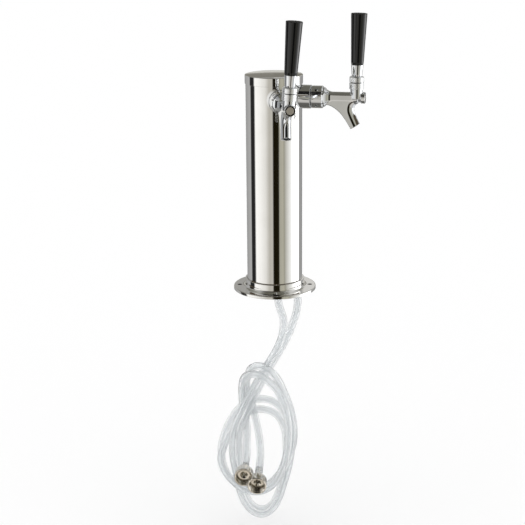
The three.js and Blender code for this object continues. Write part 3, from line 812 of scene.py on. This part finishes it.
def elbow_field(x, y, z):
    """An elbow with a spigot into the shank and a barb down into the hose."""
    arm_r, leg_r = np.hypot(y, z), np.hypot(x - ELBOW_X, y)
    arm = smooth_min(cylinder_field(arm_r, x, 6.3, ELBOW_X - 1, 21.7, 0.5),
                     cylinder_field(arm_r, x, 3.2, 15, 30, 0.4), 0.4)
    ball = np.sqrt((x - ELBOW_X) ** 2 + y ** 2 + z ** 2) - 6.3
    leg = cylinder_field(leg_r, z, 6.3, -10, 0, 0.5)
    tooth = np.mod(-z - 10, TOOTH) / TOOTH
    barbs = np.maximum(leg_r - (BARB_R - 0.5 * tooth), np.abs(z + 20) - 10)
    body = np.minimum(smooth_min(smooth_min(arm, ball, 0.6), leg, 0.6), barbs)
    bores = np.minimum(cylinder_field(arm_r, x, 2.2, ELBOW_X - 2, 32), cylinder_field(leg_r, z, 2.2, -40, 1))
    return smooth_max(body, -bores, 0.2)


def clamp_field(x, y, z):
    """A thin band pinched into one ear, about the hose on the elbow's leg."""
    around = np.hypot(x - ELBOW_X, y)
    band = np.abs(around - 6.3) - 0.4
    ear_x = x - ELBOW_X - 7.1
    ear = np.maximum(np.abs(np.hypot(ear_x * 1.1, y) - 1.75) - 0.35, -(x - ELBOW_X - 6.4))
    return smooth_max(smooth_min(band, ear, 0.6), np.abs(z + 20.5) - 3.5, 0.2)


def saddle_field(x, y, z):
    """A ring curved to sit against the column's inner wall."""
    ring = np.maximum(np.hypot(y, z) - 14, 11.4 - np.hypot(y, z))
    block = smooth_max(ring, 33.3 - x, 0.5)
    return smooth_max(block, np.hypot(x, y) - 36.6, 0.4)


def hex_field(corner, bore, start, end):
    """A hexagon nut about X with its corners eased."""
    flat = corner * math.cos(math.pi / 6)
    middle, half = (start + end) / 2, (end - start) / 2

    def field(x, y, z):
        sides = [np.abs(y * math.cos(a) + z * math.sin(a)) - flat
                 for a in (math.pi / 6, math.pi / 2, 5 * math.pi / 6)]
        block = smooth_max(smooth_max(sides[0], sides[1], 0.4), sides[2], 0.4)
        around = np.hypot(y, z)
        ease = around - corner + (np.abs(x - middle) - half + 0.9) * 1.5
        block = smooth_max(smooth_max(block, ease, 0.3), np.abs(x - middle) - half, 0.3)
        return smooth_max(block, bore - around, 0.2)

    return field


def shaft_field(x, y, z):
    """The sliding shaft, with the slot that the lever's finger moves it by."""
    around = np.hypot(y, z)
    rod = polygon_field(x, around, [(61, -1), (61, 2.4), (68, 2.4), (68, 4), (70.5, 4), (71.5, 2.9),
                                    (102, 2.9), (103.5, 5), (117.4, 5), (117.4, -1)])
    slot = np.maximum(np.maximum(np.abs(x - LEVER_X - 0.3) - 3.6, np.abs(y) - 2.3), np.abs(z) - 8)
    return smooth_max(rod, -slot, 0.2)


def arc_points(radius, start, end, count):
    """Corners of a profile along an arc, so wide a fillet that they blend into it."""
    angles = np.radians(np.linspace(start, end, count))
    return [(radius * math.cos(a), radius * math.sin(a), 99) for a in angles]


faucet_shape = surface(faucet_field, (58, -14, -45), (124.6, 14, 15.2), 0.5)
elbow_shape = surface(elbow_field, (7, -7.5, -31.5), (31.5, 7.5, 7.5), 0.5)
clamp_shape = surface(clamp_field, (7, -7.5, -25), (24.5, 7.5, -16), 0.35)
saddle_shape = surface(saddle_field, (32, -15, -15), (37.6, 15, 15), 0.5)
lock_nut_shape = surface(hex_field(14.8, 11.4, 27, 33), (26, -15.5, -15.5), (34, 15.5, 15.5), 0.5)
shaft_nut_shape = surface(hex_field(4.6, 2.7, 62.4, 65.3), (61.8, -5, -5), (65.9, 5, 5), 0.3)
shaft_shape = surface(shaft_field, (60, -6, -6), (118.4, 6, 6), 0.4)

shank_shape = threaded(
    [(3.5, 22, 0.4), (10.7, 22, 0.6), (10.7, 53.6), (11.1, 54.3, 0.1), (12.9, 54.3, 0.3), (12.9, 57, 0.3),
     (8.2, 57, 0.3), (8.2, 50, 0.5), (3.5, 48, 0.5)], True, 23, 53, 10.7, 0.38)

collar_profile = [(11.4, 33.5), (15.75, 33.5, 0.1), (15.75, 51, 1.0), (11.4, 51, 0.2)]
collar_grid, collar_faces, collar_bend = lathe(collar_profile, True, 128)
near_column = collar_grid[:, 2] < 40
collar_grid[near_column, 2] = np.sqrt((COLUMN_R + 0.25) ** 2 - collar_grid[near_column, 1] ** 2)
collar_shape = (collar_grid, collar_faces, collar_bend)

nut_profile = [(11.4, 51.5, 0.2), (14.1, 51.5, 0.5), (15, 52.5, 0.9), (15, 66.0, 0.5),
               (13.5, 67.5, 0.3), (13.2, 67.5, 0.1), (13.2, 54, 0.3), (11.4, 54, 0.2)]
nut_holes = []
for angle in QUARTERS:
    outward = (math.cos(math.radians(angle)), math.sin(math.radians(angle)), 0)
    nut_holes.append(((outward[0] * 10, outward[1] * 10, 59.5), outward, SPANNER_HOLE_R, 10))

gasket_profile = [(8.5, 57.3), (12, 57.3), (12, 58.8), (8.5, 58.8)]
seal_profile = [(2.7, 65.6), (7, 65.6, 0.4), (7, 66.9, 0.5), (5, 67.7, 0.3), (2.7, 67.7)]
ball_ring_profile = [(7.5, 14.4), (8.2, 14.4), (8.2, 19.4), (7.5, 19.4)]
bonnet_profile = [(8.5, 11.9, 0.1), (9.55, 11.9, 0.25), (9.55, 20.1, 0.6), (8.9, 20.4, 0.3),
                  (6.7, 20.4, 0.2), (6.9, 19.7, 0.1), (8.5, 19.7, 0.1)]
ball_washer_profile = [(6.3, 9.3), (7, 9.3), (7, 13.2), (6.45, 13.2)]
lever_profile = [(0, -18.4), (1.5, -18.4, 0.3), (1.8, -17.9, 0.3), (1.8, -7.2, 0.4),
                 *arc_points(BALL_R, -72, 54, 14), (4, 6.4, 0.5), (4, 40.6, 0.4), (0, 40.6)]
lever_collar_profile = [*arc_points(10.1, 24, 62, 6), (4.3, 9.3, 0.2), (4.3, 10.9, 0.2), (8.7, 10.9, 0.5),
                        (9.55, 9.9, 0.6), (9.55, 3.9, 0.5)]
ferrule_profile = [(4.3, 11.4, 0.2), (6.7, 11.4, 0.35), (7.0, 13.5, 3), (8.1, 26.4, 0.3),
                   (4.3, 26.4, 0.2)]
knob_profile = [(0, 41), (4.3, 41, 0.2), (4.3, 26.7, 0.2), (8.0, 26.7, 0.5), (8.45, 30, 5),
                (10.75, 93.2, 0.5), (0, 93.2)]


def end_finish_and_shade(x, y, z):
    """The finish at a place on the faucet body: 1, a painted shade, in the groove at its end; 2 on the plug.
    """
    around = math.hypot(y, z)
    if GROOVE_FLOOR - 0.6 < x < PLUG_FACE + 0.1 and PLUG_R - 0.05 < around < GROOVE_OUTER_R + 0.05:
        return 1
    return 2 if abs(x - PLUG_FACE) < 0.3 and around < PLUG_R else 0


faucet_points, faucet_faces, _ = faucet_shape
faucet_finish_and_shade = [end_finish_and_shade(*faucet_points[face].mean(axis=0)) for face in faucet_faces]


def build_tap(prefix):
    """The pieces of one tap, each drawn about its own axis and put in place."""
    tap = tap_place(prefix)
    axis = tap @ ALONG_X
    faucet = tap @ Matrix.Rotation(math.radians(FAUCET_ROLL[prefix]), 4, "X")
    faucet_axis = faucet @ ALONG_X
    neck = faucet @ Matrix.Translation((LEVER_X, 0, 0))
    handle = faucet @ Matrix.Translation((LEVER_X, 0, BALL_Z))
    handle = handle @ Matrix.Rotation(math.radians(LEVER_LEAN), 4, "Y")
    lever, shaft = f"{prefix}_lever", f"{prefix}_shaft"

    def shaped(name, shape, place, finish, body, node):
        field_piece(f"{prefix}_{name}", shape, place, finish, body, f"{prefix}_{node}")

    def turned(name, profile, place, finish, body, node, slot, sides=96, ring=True):
        round_piece(f"{prefix}_{name}", profile, ring, place, finish, body, f"{prefix}_{node}", sides)

    shaped("threaded_shank", shank_shape, axis, machined, "tower", "shank")
    shaped("collar", collar_shape, axis, chrome, "tower", "shank_collar")
    shaped("saddle", saddle_shape, tap, acetal, "tower", "inner_saddle")
    shaped("hex_nut", lock_nut_shape, tap, brass, "tower", "lock_nut")
    shaped("elbow", elbow_shape, tap, machined, "tower", "tail_elbow")
    shaped("clamp", clamp_shape, tap, machined, "tower", "hose_clamp")
    nut = cut_piece(f"{prefix}_nut", nut_profile, True, nut_holes, axis, 128)
    piece(f"{prefix}_nut", nut, chrome, "tower", [f"{prefix}_coupling_nut"])
    turned("gasket", gasket_profile, axis, rubber, "tower", "coupling_washer", "rubber")

    body = mesh_of(f"{prefix}_faucet", *faucet_shape, faucet)
    # The groove at the body's end takes the painted shade, the plug its own finish.
    more_finishes(body, [painted_shade, plug_end], faucet_finish_and_shade)
    piece(f"{prefix}_faucet", body, chrome, "tower", [f"{prefix}_faucet_body"])
    shaped("sliding_shaft", shaft_shape, faucet, machined, shaft, "valve_shaft")
    turned("seal", seal_profile, faucet_axis, rubber, shaft, "shaft_seal", "rubber", 48)
    shaped("small_nut", shaft_nut_shape, faucet, machined, shaft, "shaft_nut")
    turned("ring_nut", bonnet_profile, neck, satin, "tower", "bonnet", "chrome")
    turned("ball_ring", ball_ring_profile, neck, acetal, "tower", "friction_washer", "white_plastic", 64)
    turned("ball_seat", ball_washer_profile, neck, rubber, "tower", "ball_washer", "rubber", 64)

    turned("ball_lever", lever_profile, handle, machined, lever, "lever", "steel", 64, ring=False)
    turned("stem_collar", lever_collar_profile, handle, satin, lever, "lever_collar", "chrome")
    turned("ferrule", ferrule_profile, handle, chrome, lever, "knob_ferrule", "chrome")
    knob = mesh_of(f"{prefix}_handle", *lathe(knob_profile, False), handle)
    upright = handle.to_3x3() @ Vector((0, 0, 1))
    more_finishes(knob, [matte_end], [face.normal.dot(upright) > 0.9 for face in knob.polygons])
    piece(f"{prefix}_handle", knob, phenolic, lever, [f"{prefix}_tap_knob"])


for prefix in SIDE:
    build_tap(prefix)

# ---- Floor and light ----

ground = new_material("pale_floor", Roughness=1.0, Base_Color=(0.97, 0.97, 0.97, 1),
                      Specular_IOR_Level=0.0)
floor_mesh = bpy.data.meshes.new("floor")
corners = [(x * FLOOR_HALF_M, y * FLOOR_HALF_M, FLOOR_Z / 1000)
           for x, y in ((-1, -1), (1, -1), (1, 1), (-1, 1))]
floor_mesh.from_pydata(corners, [], [(0, 1, 2, 3)])
floor = bpy.data.objects.new("floor", floor_mesh)
bpy.context.scene.collection.objects.link(floor)
floor_mesh.materials.append(ground)
floor.visible_glossy = False

world = bpy.data.worlds.new("studio")
bpy.context.scene.world = world
world.use_nodes = True
web = world.node_tree
background = web.nodes["Background"]


def world_math(operation, a, b):
    node = web.nodes.new("ShaderNodeMath")
    node.operation = operation
    for place, value in enumerate((a, b)):
        if isinstance(value, (int, float)):
            node.inputs[place].default_value = value
        else:
            web.links.new(value, node.inputs[place])
    return node.outputs[0]


def world_dot(vector, axis):
    node = web.nodes.new("ShaderNodeVectorMath")
    node.operation = "DOT_PRODUCT"
    web.links.new(vector, node.inputs[0])
    node.inputs[1].default_value = axis
    return node.outputs["Value"]


def ramp(value, stops):
    """A colour ramp with (place, red, green, blue) stops."""
    node = web.nodes.new("ShaderNodeValToRGB")
    web.links.new(value, node.inputs["Fac"])
    while len(node.color_ramp.elements) < len(stops):
        node.color_ramp.elements.new(1.0)
    for element, (place, *colour) in zip(node.color_ramp.elements, stops):
        element.position = place
        element.color = (*colour, 1)
    return node.outputs["Color"]


def mixed(factor, a, b):
    """Colour a where the factor is 0 and colour b where it is 1."""
    node = web.nodes.new("ShaderNodeMix")
    node.data_type = "RGBA"
    web.links.new(factor, node.inputs["Factor"])
    for key, value in (("A", a), ("B", b)):
        if isinstance(value, tuple):
            node.inputs[key].default_value = (*value, 1)
        else:
            web.links.new(value, node.inputs[key])
    return node.outputs["Result"]


# The studio as the metal sees it: panels round the object, by direction and by height.
direction = web.nodes.new("ShaderNodeTexCoord").outputs["Generated"]
azimuth = world_math("ARCTAN2", world_dot(direction, to_right), world_dot(direction, to_camera))
turnwise = world_math("ADD", world_math("DIVIDE", azimuth, 2 * math.pi), 0.5)
height = world_math("ADD", world_math("MULTIPLY", world_dot(direction, (0, 0, 1)), 0.5), 0.5)


def band(*panels):
    """Panels round the studio: (degrees right of the camera, tone or colour)."""
    stops = []
    for degrees_right, tone in panels:
        colour = tone if isinstance(tone, tuple) else (tone, tone, tone)
        stops.append((degrees_right / 360 + 0.5, *colour))
    return stops


eye_level = ramp(turnwise, band(
    (-180, 0.32), (-150, 0.36), (-113, 0.46), (-108, 0.02), (-88, 0.022), (-82, (1.12, 1.11, 1.09)),
    (-60, (1.02, 1.01, 0.985)), (-36, (0.83, 0.815, 0.78)), (-20, (0.52, 0.50, 0.45)),
    (-7.5, (0.55, 0.53, 0.48)), (-3.5, (0.008, 0.006, 0.002)), (18, (0.012, 0.010, 0.004)),
    (21.5, (0.42, 0.41, 0.34)), (37, (0.48, 0.46, 0.38)), (40, (0.33, 0.32, 0.26)),
    (51, (0.60, 0.59, 0.55)), (70, (0.96, 0.965, 0.95)), (82, (1.5, 1.5, 1.49)), (94, 3.4),
    (114, 3.2), (118, 1.7), (122, 0.42), (150, 0.30), (180, 0.32)))
high = ramp(turnwise, band(
    (-180, (0.16, 0.155, 0.125)), (-150, (0.17, 0.165, 0.14)), (-115, (0.30, 0.30, 0.27)),
    (-95, (0.6, 0.6, 0.58)), (-62, 0.35), (-50, 0.012), (20, 0.012), (40, (0.2, 0.2, 0.17)),
    (75, (0.7, 0.7, 0.68)), (110, (0.8, 0.8, 0.8)), (140, (0.3, 0.3, 0.27)), (180, (0.16, 0.155, 0.125))))
low = ramp(turnwise, band(
    (-180, (0.26, 0.25, 0.22)), (-60, (0.40, 0.39, 0.37)), (-42, 0.06), (-30, 0.05),
    (-22, (0.66, 0.63, 0.585)), (-4, (0.72, 0.67, 0.60)), (4, (0.07, 0.055, 0.04)),
    (14, (0.06, 0.05, 0.035)), (22, (0.70, 0.66, 0.60)), (60, (0.55, 0.55, 0.54)), (85, 0.95),
    (125, 0.85), (145, 0.3), (180, (0.26, 0.25, 0.22))))
WALL_BEHIND = [(0.513, 0.63, 0.62, 0.58), (0.555, 0.63, 0.62, 0.58)]
ceiling_behind = ramp(height, [
    *WALL_BEHIND, (0.568, 0.24, 0.23, 0.20), (0.621, 0.22, 0.21, 0.185), (0.634, 0.37, 0.365, 0.35),
    (0.72, 0.38, 0.375, 0.36)])
ceiling_beside = ramp(height, [
    *WALL_BEHIND, (0.568, 0.22, 0.21, 0.18), (0.621, 0.20, 0.19, 0.165), (0.634, 0.70, 0.69, 0.67),
    (0.72, 0.58, 0.575, 0.56)])
right_of_middle = ramp(turnwise, band((-180, 0), (0, 0), (1, 1), (180, 1)))
far_side = ramp(turnwise, band((-180, 1), (-150, 1), (-125, 0), (125, 0), (150, 1), (180, 1)))
near_side = ramp(turnwise, band((-180, 0), (-122, 0), (-115, 1), (112, 1), (120, 0), (180, 0)))
dark_strip = ramp(height, [(0.605, 0, 0, 0), (0.62, 1, 1, 1), (0.675, 1, 1, 1), (0.69, 0, 0, 0)])
above_level = ramp(height, [(0.505, 0, 0, 0), (0.512, 1, 1, 1)])
to_high = ramp(height, [(0.725, 0, 0, 0), (0.745, 1, 1, 1)])
to_top = ramp(height, [(0.925, 0, 0, 0), (0.945, 1, 1, 1)])
from_low = ramp(height, [(0.32, 0, 0, 0), (0.345, 1, 1, 1)])
from_ground = ramp(height, [(0.06, 0, 0, 0), (0.11, 1, 1, 1)])
studio = mixed(from_low, low, eye_level)
studio = mixed(from_ground, (0.13, 0.125, 0.115), studio)
studio = mixed(world_math("MULTIPLY", near_side, dark_strip), studio, (0.088, 0.068, 0.045))
over_far_side = world_math("MULTIPLY", far_side, above_level)
studio = mixed(over_far_side, studio, mixed(right_of_middle, ceiling_behind, ceiling_beside))
studio = mixed(to_high, studio, high)
studio = mixed(to_top, studio, (0.15, 0.145, 0.12))
# Only reflections see the panels. All else is lit by an even white.
path = web.nodes.new("ShaderNodeLightPath")
reflected = world_math("SUBTRACT", path.outputs["Is Glossy Ray"], path.outputs["Is Transmission Ray"])
web.links.new(mixed(reflected, (1.03, 1.03, 1.03), studio), background.inputs["Color"])
background.inputs["Strength"].default_value = 1.0
